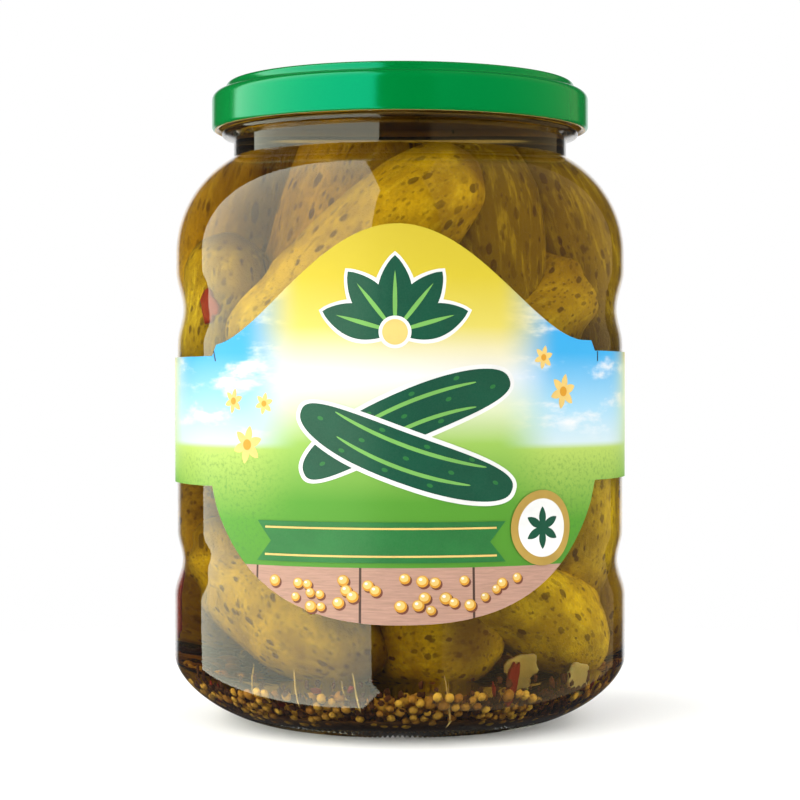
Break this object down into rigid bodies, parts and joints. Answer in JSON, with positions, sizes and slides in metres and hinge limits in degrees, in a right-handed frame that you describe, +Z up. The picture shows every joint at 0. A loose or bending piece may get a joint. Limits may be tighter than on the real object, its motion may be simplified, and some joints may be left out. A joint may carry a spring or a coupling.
{
  "type": "jar of gherkins",
  "caption": "Clear glass jar of gherkins with a green twist-off lid and a paper label that wraps round it and rises and falls in a lobe at the front.",
  "frame": {"origin": "middle of the base, on the surface that the jar stands on", "axes": "+Z up along the jar's axis, -Y out of the front, where the label's lobes are, +X to the right seen from the front"},
  "size_m": [0.1002, 0.1014, 0.1414],
  "materials": {
    "clear_glass": "clear, smooth moulded glass, very faintly green",
    "green_enamel": "glossy green stove enamel on thin steel sheet",
    "label_paper": "coated paper with a soft gloss, printed in yellow, blue and green fields",
    "gherkin_skin": "wet olive-green skin with brown warts",
    "mustard_seed": "wet golden seeds with dark spice between them",
    "red_pepper": "wet red pepper, slightly translucent",
    "onion": "pale translucent onion"
  },
  "bodies": {
    "root": {"jar": "clear_glass", "lid": "green_enamel", "label": "label_paper", "gherkins": "gherkin_skin", "mustard_seeds": "mustard_seed", "pepper_piece_1": "red_pepper", "pepper_piece_2": "red_pepper", "pepper_piece_3": "red_pepper", "pepper_piece_4": "red_pepper", "onion_piece_1": "onion", "onion_piece_2": "onion", "onion_piece_3": "onion"}
  },
  "joints": []
}
